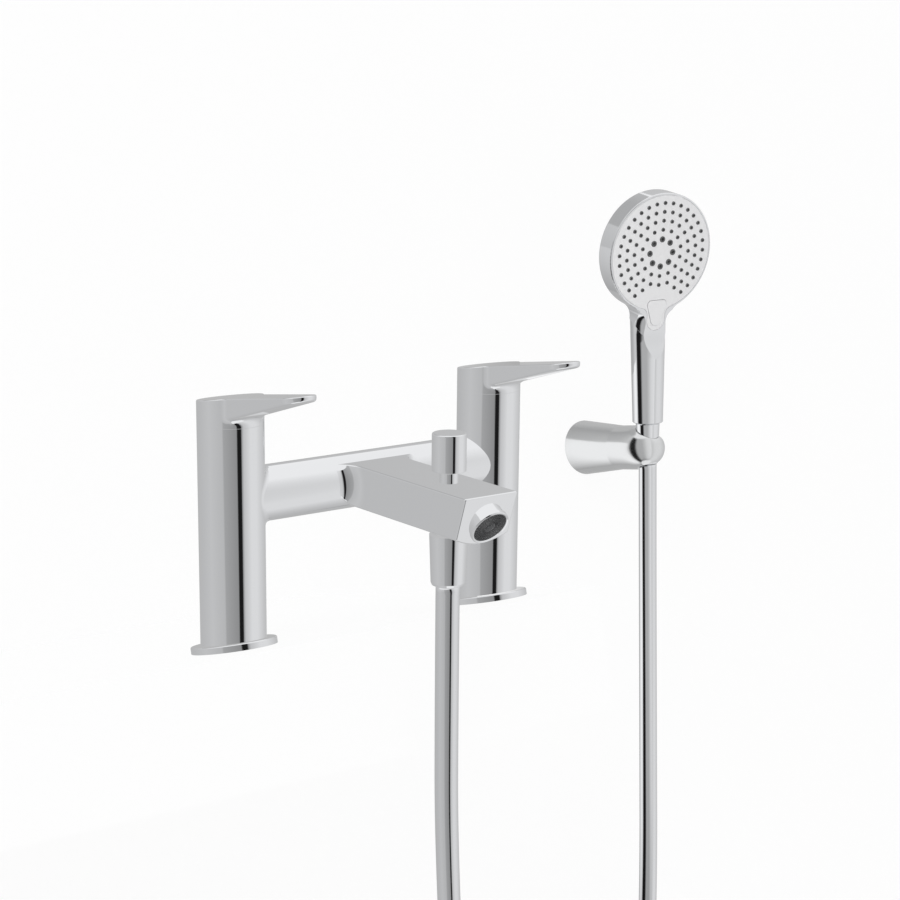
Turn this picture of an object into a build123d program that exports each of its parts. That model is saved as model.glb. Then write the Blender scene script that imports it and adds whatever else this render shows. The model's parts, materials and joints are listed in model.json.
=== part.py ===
from build123d import *
import os
from math import acos, atan2, cos, hypot, pi, radians, sin, tan

os.makedirs("parts", exist_ok=True)

# Bath shower mixer for a bath rim, with a wall holder, a hose and a hand shower.
# All sizes in mm. World frame: Z = 0 is the top of the bath rim, the origin lies on the rim
# halfway between the two columns, +X runs to the cold side and -Y over the bath.

# Mixer
column_spacing = 180.0
column_radius = 18.8
column_height = 126.0
rake = 14.0
bridge_radius = 15.9
bridge_height = 83.4
bridge_blend = 4.0

# Spout arm
arm_width = 35.6
arm_top = 96.0
arm_side_bottom = 71.8
arm_belly = 4.4
arm_reach = 120.2
arm_front_lean = 18.4
arm_flare = 10.0
arm_edge = 0.9

# Nozzle
nozzle_down = 33.0
nozzle_inset = 0.9
nozzle_z = 77.7
nozzle_boss_radius = 11.0
nozzle_rim_radius = 11.5

# Base discs and the fixings below the rim
disc_radius = 24.75
disc_height = 4.0
gasket_radius = 22.0
gasket_height = 1.2
tail_radius = 13.2
tail_bore_radius = 9.5
tail_length = 62.0
tail_tip_chamfer = 1.2
tail_groove_radius = 12.2
tail_groove_width = 3.0
tail_groove_bottom = -43.0
tail_socket_radius = 11.9
tail_socket_depth = 13.0
rim_thickness = 10.0
washer_radius = 21.0
washer_height = 2.0
back_nut_width = 36.0
back_nut_height = 11.0

# Levers
lever_gap = 0.15
lever_crown = 14.6
lever_rise = 9.15
lever_root_half_width = 12.5
lever_tip_half_width = 10.0
lever_tip_centre = 68.0
lever_underside_lift = 6.1
lever_underside_rise = 16.9
lever_root_blend = 6.0
lever_lower_round = 1.8
lever_edge_round = 0.8
finger_recess_start = 27.0
finger_recess_end = 70.0
finger_recess_depth = 1.6

# Quarter turn cartridges
cartridge_bore_radius = 13.6
cartridge_bore_depth = 42.0
cartridge_radius = 11.0
cartridge_nut_height = 6.0
spindle_radius = 4.0
spindle_reach = 8.0
ceramic_radius = 8.3
ceramic_height = 3.0
cartridge_seal_height = 3.0

# Diverter
diverter_y = -81.5
knob_radius = 9.6
knob_bottom = 102.5
knob_top = 123.7
stem_radius = 5.3
stem_fit = 0.06
chamber_radius = 9.0
chamber_floor = 75.0
chamber_roof = 90.5
plunger_radius = 8.6
plunger_height = 4.0

# Shower outlet and its hose nut
outlet_radius = 8.0
hose_nut_top = 66.7
hose_nut_bottom = 37.4
hose_nut_top_radius = 10.6
hose_nut_bottom_radius = 9.6
hose_radius = 6.75
hose_length = 1250.0

# Wall holder
holder_x = 408.1
holder_y = 203.0
holder_z = 69.4
holder_reach = 72.7
holder_slant = 4.0
holder_base_radius = 20.9
holder_neck_radius = 16.8
holder_neck = 44.0
holder_joint = 49.0
holder_nose_start = 59.5
holder_nose_length = 24.4
holder_nose_fullness = 0.76
wall_plate_radius = 16.0
wall_plate_height = 5.0
wall_screw_spacing = 18.0
wall_screw_radius = 1.9
wall_screw_length = 32.0

# Hand shower
handset_rake = 11.2
handset_turn = -6.6
handle_bottom = 19.3
handle_bottom_radius = 11.4
handle_top_radius = 13.1
head_radius = 44.2
head_height = 147.1
head_forward = 17.2
head_tilt = 8.0
head_rim_depth = 15.0
head_dome_depth = 8.0
lip_round = 1.0
neck_drop = 53.1
neck_blend = 12.0
neck_flare = 6.0
spine_length = 30.0
spine_middle_y = 11.0
spine_end_y = 1.0
face_radius = 42.6
face_thickness = 2.4
tongue_half_width = 7.8
tongue_drop = 58.1
thumb_rest_length = 26.0
cone_nut_top_radius = 8.95
cone_nut_bottom_radius = 7.75
cone_nut_bottom = -12.0
button_travel = 1.5
mat_radius = 41.0
divider_floor = 6.5
nib_radius = 1.15
jet_radius = 1.9
jet_count = 8
nib_stand = 0.4
nozzle_rings = [(10.1, jet_count, 0), (17.2, 14, 0), (23.9, 20, 0), (30.4, 26, 2), (36.9, 32, 3)]
button_corner_x = 5.2
button_corner_radius = 3.2
button_foot_radius = 4.6
button_top = -35.5
button_end = -54.5
button_height = 4.0
button_depth = 8.0
inlet_radius = 7.4

# Hose
hose_low = -465.0

slip = 0.05
far = 200.0


def rod(radius, start, end):
    return Pos(0, 0, (start + end) / 2) * Cylinder(radius, end - start)


def tube(radius, bore, start, end):
    return rod(radius, start, end) - rod(bore, start - 1, end + 1)


def turned(points):
    outline = Plane.XZ * make_face(Polyline(*points, close=True))
    return revolve(outline, Axis.Z)


def save(shape, name):
    export_step(shape, "parts/" + name + ".step")


def mixer(shape):
    return Location((0, 0, disc_height), (rake, 0, 0)) * shape


def try_fillet(shape, edges, radius, name):
    try:
        rounded = shape.fillet(radius, list(edges))
        if rounded.is_valid and rounded.volume > 0:
            return rounded
    except Exception:
        pass
    print("left sharp:", name)
    return shape


half_spacing = column_spacing / 2
cartridge_bore_floor = column_height - cartridge_bore_depth
spindle_top = column_height + spindle_reach

# Body casting: two raked columns, the bridge and the spout arm
columns = [Pos(side * half_spacing, 0, 0) * rod(column_radius, -15, column_height) for side in (-1, 1)]
bridge = Pos(0, 0, bridge_height) * Rot(0, 90, 0) * Cylinder(bridge_radius, column_spacing)
body = columns[0] + columns[1] + bridge
joins = [
    edge
    for edge in body.edges()
    if edge.geom_type not in (GeomType.CIRCLE, GeomType.LINE)
    and abs(edge.center().Z - bridge_height) < bridge_radius
]
body = try_fillet(body, joins, bridge_blend, "bridge to columns")

half_arm = arm_width / 2
arm_section = make_face(
    Polyline((-half_arm, arm_side_bottom), (-half_arm, arm_top), (half_arm, arm_top), (half_arm, arm_side_bottom))
    + ThreePointArc(
        (half_arm, arm_side_bottom), (0, arm_side_bottom - arm_belly), (-half_arm, arm_side_bottom)
    )
)
arm = extrude(Plane.XZ * arm_section, arm_reach + 8)
front_cut = Location((0, -arm_reach, arm_top), (arm_front_lean, 0, 0)) * Pos(0, -20, 0) * Box(60, 40, 90)
body = body + (arm - front_cut)
flare_edges = [
    edge
    for edge in body.edges()
    if edge.geom_type == GeomType.CIRCLE
    and abs(abs(edge.center().X) - half_arm) < 0.2
    and abs(edge.radius - bridge_radius) < 0.01
]
body = try_fillet(body, flare_edges, arm_flare, "arm to bridge")
top_edges = [
    edge for edge in body.edges() if abs(edge.center().Z - arm_top) < 0.1 and 10 < abs(edge.center().X) < 2 * half_arm
]
body = try_fillet(body, top_edges, arm_edge, "arm top edges")
lower_edges = [
    edge
    for edge in body.edges()
    if edge.geom_type == GeomType.LINE and abs(edge.center().Z - arm_side_bottom) < 0.1 and edge.length > arm_reach / 2
]
body = try_fillet(body, lower_edges, arm_edge, "arm lower edges")
front_edges = [edge for edge in body.edges() if edge.center().Y < 13 - arm_reach]
body = try_fillet(body, front_edges, arm_edge, "arm front edges")

# Nozzle boss on the front of the arm, its axis tipped down
nozzle_frame = Plane(
    origin=(0, nozzle_inset - arm_reach, nozzle_z),
    x_dir=(1, 0, 0),
    z_dir=(0, cos(radians(nozzle_down)), sin(radians(nozzle_down))),
)
boss_start = 2.7
boss = nozzle_frame.location * rod(nozzle_boss_radius, boss_start, 16)
body = body + boss
body = body - nozzle_frame.location * rod(nozzle_rim_radius + 0.15, -6, boss_start)
body = body - nozzle_frame.location * rod(10.1, 0, 10.0)

# Bores of the casting
diverter_axis = Pos(0, diverter_y, 0)
body = body - diverter_axis * rod(chamber_radius, 40, chamber_roof)
body = body - diverter_axis * rod(stem_radius + stem_fit, chamber_roof - 1, arm_top + 5)
for side in (-1, 1):
    body = body - Pos(side * half_spacing, 0, 0) * rod(cartridge_bore_radius, cartridge_bore_floor, far)
body = mixer(body)
below_discs = Pos(0, 0, disc_height - 50) * Box(2 * far, 2 * far, 100)
body = body - below_discs
for side in (-1, 1):
    socket = rod(tail_socket_radius, disc_height - 1, disc_height + tail_socket_depth)
    body = body - Pos(side * half_spacing, 0, 0) * socket
save(body, "mixer_body")

# Base discs, gaskets, inlet tails, washers and back nuts
disc = rod(disc_radius, 0, disc_height)
disc = fillet(disc.edges().group_by(Axis.Z)[-1], 0.9)
disc = disc - rod(tail_radius + 0.3, -1, disc_height + 1) - rod(gasket_radius, -1, gasket_height)
gasket = tube(gasket_radius - slip, tail_radius + 0.3, 0, gasket_height)
tail = rod(tail_radius, -tail_length, disc_height)
tail = chamfer(tail.edges().group_by(Axis.Z)[0], tail_tip_chamfer)
groove_top = tail_groove_bottom + tail_groove_width
tail = tail - tube(tail_radius + 1, tail_groove_radius, tail_groove_bottom, groove_top)
tail = tail + rod(tail_socket_radius - slip, disc_height, disc_height + tail_socket_depth - 0.5)
tail = tail - rod(tail_bore_radius, -tail_length - 1, disc_height + tail_socket_depth - 2.0)
washer = tube(washer_radius, tail_radius + 0.3, -rim_thickness - washer_height, -rim_thickness)
nut_top = -rim_thickness - washer_height
back_nut = extrude(
    Pos(0, 0, nut_top - back_nut_height) * RegularPolygon(back_nut_width / 2, 6, major_radius=False),
    back_nut_height - 2.5,
)
back_nut = back_nut + rod(back_nut_width / 2 + 2, nut_top - 2.5, nut_top)
back_nut = back_nut - rod(tail_radius + slip, nut_top - back_nut_height - 1, nut_top + 1)
for side, name in ((-1, "left"), (1, "right")):
    at = Pos(side * half_spacing, 0, 0)
    save(at * disc, "base_disc_" + name)
    save(at * gasket, "base_gasket_" + name)
    save(at * tail, "inlet_tail_" + name)
    save(at * washer, "fixing_washer_" + name)
    save(at * back_nut, "back_nut_" + name)

# Quarter turn cartridges: seal, fixed disc, moving disc, spindle, body and nut
seal_top = cartridge_bore_floor + cartridge_seal_height
disc_top = seal_top + ceramic_height
moving_top = disc_top + 0.02 + ceramic_height
carrier_top = moving_top + 4.0
cartridge_top = column_height - 1.0
housing = turned(
    [
        (ceramic_radius + slip, cartridge_bore_floor),
        (cartridge_bore_radius - slip, cartridge_bore_floor),
        (cartridge_bore_radius - slip, seal_top + 4),
        (cartridge_radius, seal_top + 6),
        (cartridge_radius, cartridge_top),
        (spindle_radius + 0.3, cartridge_top),
        (spindle_radius + 0.3, carrier_top + 0.3),
        (ceramic_radius + slip, carrier_top + 0.3),
    ]
)
seal = tube(ceramic_radius, 3.0, cartridge_bore_floor, seal_top)
fixed_disc = rod(ceramic_radius, seal_top, disc_top)
port = Pos(0, 4.2, 0) * rod(2.6, seal_top - 1, disc_top + 1)
fixed_disc = fixed_disc - port
moving_disc = rod(ceramic_radius - 0.3, disc_top + 0.02, moving_top)
moving_port = Pos(0, -4.2, 0) * rod(2.6, disc_top, moving_top + 1)
moving_disc = moving_disc - moving_port
carrier = rod(ceramic_radius - 0.3, moving_top, carrier_top)
spindle = carrier + rod(spindle_radius, carrier_top, spindle_top)
ring_nut = tube(
    cartridge_bore_radius - slip, cartridge_radius + slip, cartridge_top - cartridge_nut_height, cartridge_top
)

# Lever: hub and flat tapering blade rising to the front
rise = tan(radians(lever_rise))
under_rise = tan(radians(lever_underside_rise))
hub_bottom = column_height + lever_gap
tip_y = -lever_tip_centre - lever_tip_half_width
root_y = -12.0
tip_distance = hypot(lever_root_half_width, lever_tip_centre + root_y)
tip_turn = atan2(lever_tip_centre + root_y, lever_root_half_width) - acos(lever_tip_half_width / tip_distance)
tip_x = lever_tip_half_width * cos(tip_turn)
tip_start = lever_tip_half_width * sin(tip_turn) - lever_tip_centre
blade_plan = make_face(
    Polyline(
        (-tip_x, tip_start), (-lever_root_half_width, root_y), (lever_root_half_width, root_y), (tip_x, tip_start)
    )
    + ThreePointArc((tip_x, tip_start), (0, tip_y), (-tip_x, tip_start))
)
blade = Pos(0, 0, hub_bottom) * extrude(blade_plan, 60)
underside_root = column_height + lever_underside_lift


def under(y):
    return underside_root + under_rise * (-y - column_radius)


def top(y):
    return column_height + lever_crown - rise * y


side_view = make_face(
    Polyline((0, under(0)), (0, top(0)), (tip_y - 2, top(tip_y - 2)), (tip_y - 2, under(tip_y - 2)), close=True)
)
blade = blade & extrude(Plane.YZ * side_view, 20, both=True)
lower_rims = [
    edge
    for edge in blade.edges()
    if abs(edge.center().Z - under(edge.center().Y)) < 0.05 and edge.center().Y < root_y - 1
]
blade = try_fillet(blade, lower_rims, lever_lower_round, "lever lower edge")
hub = rod(column_radius, hub_bottom - 2 * lever_root_blend, far)
top_cut = extrude(
    Plane.YZ * make_face(Polyline((60, top(60)), (-120, top(-120)), (-120, far + 60), (60, far + 60), close=True)),
    60,
    both=True,
)
hub = hub - top_cut
lever = hub + blade
root_edges = [
    edge
    for edge in lever.edges()
    if -column_radius - 1 < edge.center().Y < -column_radius / 2
    and hypot(edge.center().X, edge.center().Y) > 0.8 * column_radius
    and edge.center().Z > hub_bottom
    and abs(edge.center().Z - top(edge.center().Y)) > 0.1
]
lever = try_fillet(lever, root_edges, lever_root_blend, "lever root")
lever = lever - rod(2 * column_radius, hub_bottom - 3 * lever_root_blend, hub_bottom)
rim_edges = [edge for edge in lever.edges() if abs(edge.center().Z - top(edge.center().Y)) < 0.05]
lever = try_fillet(lever, rim_edges, lever_edge_round, "lever top edge")
recess_radius = ((lever_tip_half_width - 2) ** 2 + finger_recess_depth**2) / (2 * finger_recess_depth)
recess_mid = -(finger_recess_start + finger_recess_end) / 2
recess_length = finger_recess_end - finger_recess_start
recess = Location((0, recess_mid, under(recess_mid)), (-lever_underside_rise, 0, 0)) * (
    Pos(0, 0, finger_recess_depth - recess_radius)
    * Rot(90, 0, 0)
    * Cylinder(recess_radius, recess_length)
)
lever = lever - recess
lever = lever - rod(spindle_radius + slip / 2, hub_bottom - 1, spindle_top + 0.5)
screw_z = hub_bottom + 5.0
screw_hole = Pos(0, 0, screw_z) * Rot(-90, 0, 0) * rod(1.5 + slip / 2, spindle_radius, column_radius + 1)
lever = lever - screw_hole
screw = Pos(0, 0, screw_z) * Rot(-90, 0, 0) * rod(1.5, spindle_radius + 0.05, column_radius - 2.0)
for side, name in ((-1, "left"), (1, "right")):
    at = Pos(side * half_spacing, 0, 0)
    save(mixer(at * housing), "cartridge_body_" + name)
    save(mixer(at * seal), "cartridge_seal_" + name)
    save(mixer(at * fixed_disc), "ceramic_fixed_disc_" + name)
    save(mixer(at * moving_disc), "ceramic_moving_disc_" + name)
    save(mixer(at * spindle), "cartridge_spindle_" + name)
    save(mixer(at * ring_nut), "cartridge_nut_" + name)
    save(mixer(at * lever), "lever_" + name)
    save(mixer(at * screw), "lever_screw_" + name)

# Diverter knob, stem with its plunger, and the two rings
knob = rod(knob_radius, knob_bottom, knob_top)
knob = fillet(knob.edges().group_by(Axis.Z)[-1], 0.9)
knob = fillet(knob.edges().group_by(Axis.Z)[0], 0.4)
spigot_radius = 3.0
spigot_length = 11.0
knob = knob - rod(spigot_radius + slip / 2, knob_bottom - 1, knob_bottom + spigot_length + 0.3)
plunger_floor = chamber_floor + 1.2
stem = turned(
    [
        (0, plunger_floor),
        (plunger_radius, plunger_floor),
        (plunger_radius, plunger_floor + 1.0),
        (plunger_radius - 1.6, plunger_floor + 1.0),
        (plunger_radius - 1.6, plunger_floor + 3.0),
        (plunger_radius, plunger_floor + 3.0),
        (plunger_radius, plunger_floor + plunger_height),
        (stem_radius, plunger_floor + plunger_height),
        (stem_radius, knob_bottom),
        (spigot_radius, knob_bottom),
        (spigot_radius, knob_bottom + spigot_length),
        (0, knob_bottom + spigot_length),
    ]
)
plunger_ring = tube(chamber_radius - 0.05, plunger_radius - 1.6, plunger_floor + 1.05, plunger_floor + 2.95)
save(mixer(diverter_axis * knob), "diverter_knob")
save(mixer(diverter_axis * stem), "diverter_stem")
save(mixer(diverter_axis * plunger_ring), "diverter_ring")

# Shower outlet nipple, hose washer, cone nut and ferrule
outlet_end = hose_nut_top - 12.0
outlet = rod(chamber_radius - slip, hose_nut_top + 0.6, chamber_floor)
outlet = outlet + rod(outlet_radius, outlet_end, hose_nut_top + 0.6)
outlet = outlet - rod(5.0, outlet_end - 1, chamber_floor + 1)
save(mixer(diverter_axis * outlet), "shower_outlet")
washer_end = outlet_end - 2.0
hose_washer = tube(outlet_radius - slip, 4.5, washer_end, outlet_end)
ferrule_radius = 6.9
hose_nut = turned(
    [
        (outlet_radius + slip, hose_nut_top),
        (hose_nut_top_radius, hose_nut_top),
        (hose_nut_bottom_radius, hose_nut_bottom + 2),
        (hose_nut_bottom_radius - 0.6, hose_nut_bottom + 0.6),
        (hose_nut_bottom_radius - 2, hose_nut_bottom),
        (ferrule_radius + slip, hose_nut_bottom),
        (ferrule_radius + slip, washer_end - 2.2),
        (outlet_radius + slip, washer_end - 2.2),
    ]
)
ferrule = rod(ferrule_radius, hose_nut_bottom, washer_end - 2.2)
ferrule = ferrule + rod(outlet_radius, washer_end - 2.2, washer_end)
ferrule = ferrule - rod(4.0, hose_nut_bottom + 3, washer_end + 1)
save(mixer(diverter_axis * hose_washer), "hose_washer_mixer")
save(mixer(diverter_axis * hose_nut), "hose_nut_mixer")
save(mixer(diverter_axis * ferrule), "hose_ferrule_mixer")

# Aerator: chrome housing and the slotted insert
rim_depth = boss_start - 0.3
housing_ring = turned(
    [
        (10.25, 0.2),
        (nozzle_rim_radius - 0.5, 0),
        (nozzle_rim_radius, 0.5),
        (nozzle_rim_radius, rim_depth),
        (10.05, rim_depth + 0.3),
        (10.05, 9.0),
        (9.0, 9.0),
        (9.0, 1.5),
        (10.25, 1.5),
    ]
)
insert = rod(10.2, 0.6, 1.5) + rod(8.95, 1.5, 8.0)
slot_count = 28
for index in range(slot_count):
    slot = Rot(0, 0, index * 360 / slot_count) * Pos(7.9, 0, 0.6) * Box(3.6, 0.55, 0.9)
    insert = insert - slot
save(mixer(nozzle_frame.location * housing_ring), "aerator_housing")
save(mixer(nozzle_frame.location * insert), "aerator_insert")

# Wall holder: plate, cone, head with the open socket, screws. The cone runs down from the wall
wall_y = holder_y + holder_reach
plate_z = holder_z + holder_reach * tan(radians(holder_slant))
wall = Location((holder_x, wall_y, plate_z), (90, 0, 0))
bracket = Location((holder_x, wall_y, plate_z), (90 + holder_slant, 0, 0))
plate = rod(wall_plate_radius, 0, wall_plate_height)
spigot = rod(9.0, wall_plate_height, wall_plate_height + 6)
plate = plate + spigot
screw_spots = [(-wall_screw_spacing / 2, 0), (wall_screw_spacing / 2, 0)]
for spot_x, spot_y in screw_spots:
    plate = plate - Pos(spot_x, spot_y, 0) * rod(wall_screw_radius + 0.3, -1, wall_plate_height + 20)
    plate = plate - Pos(spot_x, spot_y, 0) * rod(3.8, wall_plate_height - 2, wall_plate_height + 20)
cone_slope_per_mm = (holder_base_radius - holder_neck_radius) / holder_neck
behind_wall = 6.0
cone = turned(
    [
        (0, -behind_wall),
        (holder_base_radius + behind_wall * cone_slope_per_mm, -behind_wall),
        (holder_neck_radius, holder_neck),
        (holder_neck_radius, holder_joint),
        (0, holder_joint),
    ]
)
cone = cone - rod(2.6, 0, holder_joint + 1) - rod(5.0, wall_plate_height, holder_joint - 6)
cone = bracket * cone - wall * rod(2 * holder_base_radius, -4 * behind_wall, 0)
cone = cone - wall * rod(wall_plate_radius + slip, -1, wall_plate_height + 10)
nose_end = holder_nose_start + holder_nose_length
nose_middle = (
    holder_neck_radius * holder_nose_fullness,
    holder_nose_start + holder_nose_length * holder_nose_fullness,
)
nose_profile = Plane.XZ * make_face(
    Polyline(
        (0, nose_end), (0, holder_joint), (holder_neck_radius, holder_joint), (holder_neck_radius, holder_nose_start)
    )
    + Spline((holder_neck_radius, holder_nose_start), nose_middle, (0, nose_end), tangents=[(0, 1), (-1, 0)])
)
head = revolve(nose_profile, Axis.Z)
save(wall * plate, "wall_plate")
save(cone, "holder_cone")
holder_screw = rod(4.6, holder_joint - 9, holder_joint - 6) + rod(2.5, holder_joint - 6, holder_joint + 6)
save(bracket * holder_screw, "holder_screw")
screw_head = rod(3.6, wall_plate_height - 2, wall_plate_height)
wall_screw = screw_head + rod(wall_screw_radius, wall_plate_height - 2 - wall_screw_length, wall_plate_height - 2)
screws = [Pos(x, y, 0) * wall_screw for x, y in screw_spots]
save(wall * Compound(children=screws), "wall_screws")
plug = tube(3.0, wall_screw_radius + slip / 2, -30, 0)
save(wall * Compound(children=[Pos(x, y, 0) * plug for x, y in screw_spots]), "wall_plugs")

# Frame of the hand shower: origin on the socket axis, Z up the handle, the spray face to -Y
hand = Location((holder_x, holder_y, holder_z), (handset_rake, 0, 0))
cone_nut_top = handle_bottom - 0.4
socket_gap = 0.4
cone_slope = (cone_nut_top_radius - cone_nut_bottom_radius) / (cone_nut_top - cone_nut_bottom)


def nut_radius(z):
    return cone_nut_bottom_radius + cone_slope * (z - cone_nut_bottom)


socket = turned(
    [
        (0, -30),
        (nut_radius(-30) + socket_gap, -30),
        (nut_radius(30) + socket_gap, 30),
        (0, 30),
    ]
)
slot_width = 2 * hose_radius + 1.0
entry = Pos(15, 0, 0) * Box(30, slot_width, 70)
head_placed = bracket * head - hand * (socket + entry)
head_placed = head_placed - bracket * rod(2.55, holder_joint - 1, holder_joint + 7)
save(head_placed, "holder_head")

# Hand shower shell: handle and round head in one
hand = hand * Location((0, 0, 0), (0, 0, handset_turn))
tilt = radians(head_tilt)
handle_top = head_height - neck_drop
face = Plane(origin=(0, -head_forward, head_height), x_dir=(1, 0, 0), z_dir=(0, -cos(tilt), -sin(tilt))).location


# Round plate with a tongue below it, joined by two tangent arcs; end is the height of the tongue's foot
def plate_outline(radius, half_width, end, flare):
    side = half_width + flare
    drop = ((radius + flare) ** 2 - side**2) ** 0.5
    share = radius / (radius + flare)
    half_bend = atan2(drop, side) / 2
    foot = end - head_height
    shoulder = (share * side, -share * drop)
    middle = (side - flare * cos(half_bend), flare * sin(half_bend) - drop)
    left = [
        ThreePointArc((-shoulder[0], shoulder[1]), (-middle[0], middle[1]), (-half_width, -drop)),
        Line((-half_width, -drop), (-half_width, foot + half_width)),
    ]
    right = [
        Line((half_width, foot + half_width), (half_width, -drop)),
        ThreePointArc((half_width, -drop), middle, shoulder),
    ]
    top = ThreePointArc(shoulder, (0, radius), (-shoulder[0], shoulder[1]))
    toe = ThreePointArc((-half_width, foot + half_width), (0, foot), (half_width, foot + half_width))
    return make_face([top, *left, toe, *right])


def face_y(z):
    return -head_forward + (head_height - z) * tan(tilt)


# Outline of the neck, swept round the handle: straight, a concave bend, then a wide flare
neck_bend = radians(60)
neck_middle = (
    handle_top_radius + neck_blend * (1 - cos(neck_bend / 2)),
    handle_top + neck_blend * sin(neck_bend / 2),
)
neck_end = (handle_top_radius + neck_blend * (1 - cos(neck_bend)), handle_top + neck_blend * sin(neck_bend))
flare_end = (neck_end[0] + far * sin(neck_bend), neck_end[1] + far * cos(neck_bend))
neck_profile = Plane.XZ * make_face(
    Polyline(neck_end, flare_end, (0, flare_end[1]), (0, 0), (handle_top_radius, 0), (handle_top_radius, handle_top))
    + ThreePointArc((handle_top_radius, handle_top), neck_middle, neck_end)
)
neck_envelope = revolve(neck_profile, Axis.Z)
slab_outline = plate_outline(head_radius, handle_top_radius, handle_top - handle_top_radius, neck_blend)
slab = face * extrude(slab_outline, -head_rim_depth) & neck_envelope
dome_profile = Plane.XZ * make_face(
    Polyline((head_radius, -head_rim_depth), (0, -head_rim_depth), (0, -head_rim_depth - head_dome_depth))
    + EllipticalCenterArc((0, -head_rim_depth), head_radius, head_dome_depth, start_angle=270, arc_size=90)
)
dome = face * revolve(dome_profile, Axis.Z)
handle = turned(
    [
        (0, handle_bottom),
        (handle_bottom_radius - 0.6, handle_bottom),
        (handle_bottom_radius, handle_bottom + 0.6),
        (handle_top_radius, handle_top),
        (0, handle_top),
    ]
)
# Back of the neck: the handle runs on behind the head and sinks into the dome
spine_top = handle_top + spine_length
spine_side = Plane.YZ * make_face(
    Polyline(
        (spine_end_y, spine_top),
        (face_y(spine_top) + 1, spine_top),
        (face_y(handle_top) + 1, handle_top - 1),
        (handle_top_radius, handle_top - 1),
        (handle_top_radius, handle_top),
    )
    + Spline(
        (handle_top_radius, handle_top),
        (spine_middle_y, handle_top + spine_length / 2),
        (spine_end_y, spine_top),
        tangents=[(0, 1), (-1, 1)],
    )
)
spine = rod(handle_top_radius, handle_top - 1, spine_top) & extrude(spine_side, head_radius, both=True)
shell = slab + dome + handle + spine
tongue_end = head_height - tongue_drop
thumb_top = tongue_end - 0.8
thumb_bottom = thumb_top - thumb_rest_length
front_side = Plane.YZ * make_face(
    Polyline(
        (face_y(thumb_top), thumb_top),
        (face_y(far), far),
        (-far, far),
        (-far, thumb_bottom),
        (-handle_top_radius, thumb_bottom),
    )
    + Spline(
        (-handle_top_radius, thumb_bottom),
        (face_y(thumb_top), thumb_top),
        tangents=[(0, 1), (-tan(tilt), 1)],
    )
)
shell = shell - extrude(front_side, head_radius + 5, both=True)
lip_edges = [
    edge
    for edge in shell.edges()
    if edge.center().Z > head_height - head_radius and abs(edge.center().Y - face_y(edge.center().Z)) < 0.05
    and edge.length > head_radius
]
shell = try_fillet(shell, lip_edges, lip_round, "lip of the head")
seat_outline = plate_outline(face_radius + 0.15, tongue_half_width + 0.15, tongue_end - 0.15, neck_flare)
shell = shell - face * extrude(seat_outline, -face_thickness - 0.1) - face * extrude(seat_outline, 5)
shell = shell - face * rod(mat_radius + 0.2, -divider_floor - 0.1, 0)


def button_outline(grow):
    upper = Circle(button_corner_radius + grow)
    lower = Circle(button_foot_radius + grow)
    spots = [
        Pos(-button_corner_x, button_top - button_corner_radius) * upper,
        Pos(button_corner_x, button_top - button_corner_radius) * upper,
        Pos(0, button_end + button_foot_radius) * lower,
    ]
    return make_hull([edge for spot in spots for edge in spot.edges()])


button_well = face * extrude(button_outline(0.3), -button_depth)
shell = shell - button_well
inlet_bore_top = handle_bottom + 12.0
shell = shell - rod(inlet_radius + 1.1, handle_bottom - 1, inlet_bore_top)
save(hand * shell, "handset_shell")

# Spray face with its holes, nozzle mat and the divider behind it
spray_face = face * extrude(plate_outline(face_radius, tongue_half_width, tongue_end, neck_flare), -face_thickness)
spray_face = spray_face - face * extrude(button_outline(0.3), -face_thickness - 1)
holes = []
nibs = []
for radius, count, skip in nozzle_rings:
    nozzle_radius = jet_radius if count == jet_count else nib_radius
    for index in range(round(count)):
        if min(index, count - index) < skip:
            continue
        spot = Rot(0, 0, -90 + index * 360 / count) * Pos(radius, 0, 0)
        holes.append(spot * rod(nozzle_radius + 0.1, -face_thickness - 1, 1))
        nib = spot * rod(nozzle_radius, -face_thickness - 0.3, nib_stand)
        if count == jet_count:
            nib = nib - spot * rod(nozzle_radius - 0.8, -1.5, 1)
        nibs.append(nib)
spray_face = spray_face - face * Compound(children=holes)
mat_top = -face_thickness - 0.1
mat = rod(mat_radius, mat_top - 1.2, mat_top)
mat = mat.fuse(*nibs)
divider = rod(mat_radius, -divider_floor, mat_top - 1.25)
button_gap = extrude(button_outline(0.3), -button_depth - 1)
mat = mat - button_gap
divider = divider - button_gap
save(hand * spray_face, "spray_face")
save(hand * face * mat, "nozzle_mat")
save(hand * face * divider, "water_divider")

# Select button and the elastic pad that returns it
button = face * extrude(button_outline(0), -button_height)
button = button + face * Pos(0, 0, 0.3) * extrude(button_outline(0), -0.4)
pad_top = -button_height - button_travel - 0.1
pad = face * Pos(0, (button_top + button_end) / 2, 0) * rod(4.0, -button_depth, pad_top)
save(hand * button, "select_button")
save(hand * pad, "button_pad")

# Inlet of the hand shower, its washer, cone nut and ferrule
inlet = rod(inlet_radius, 5.0, handle_bottom) + rod(inlet_radius + 1.0, handle_bottom, inlet_bore_top - 0.3)
inlet = inlet - rod(4.5, 4, inlet_bore_top - 3)
handset_washer = tube(inlet_radius, 4.2, 3.0, 5.0)
handset_ferrule = rod(ferrule_radius, cone_nut_bottom, 1.0) + rod(inlet_radius, 1.0, 3.0)
handset_ferrule = handset_ferrule - rod(4.0, cone_nut_bottom + 3, 4)
cone_nut = turned(
    [
        (inlet_radius + slip, cone_nut_top),
        (nut_radius(cone_nut_top) - 0.4, cone_nut_top),
        (nut_radius(cone_nut_top - 0.6), cone_nut_top - 0.6),
        (nut_radius(cone_nut_bottom + 0.6), cone_nut_bottom + 0.6),
        (nut_radius(cone_nut_bottom) - 0.6, cone_nut_bottom),
        (ferrule_radius + slip, cone_nut_bottom),
        (ferrule_radius + slip, 1.0),
        (inlet_radius + slip, 1.0),
    ]
)
save(hand * inlet, "handset_inlet")
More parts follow.
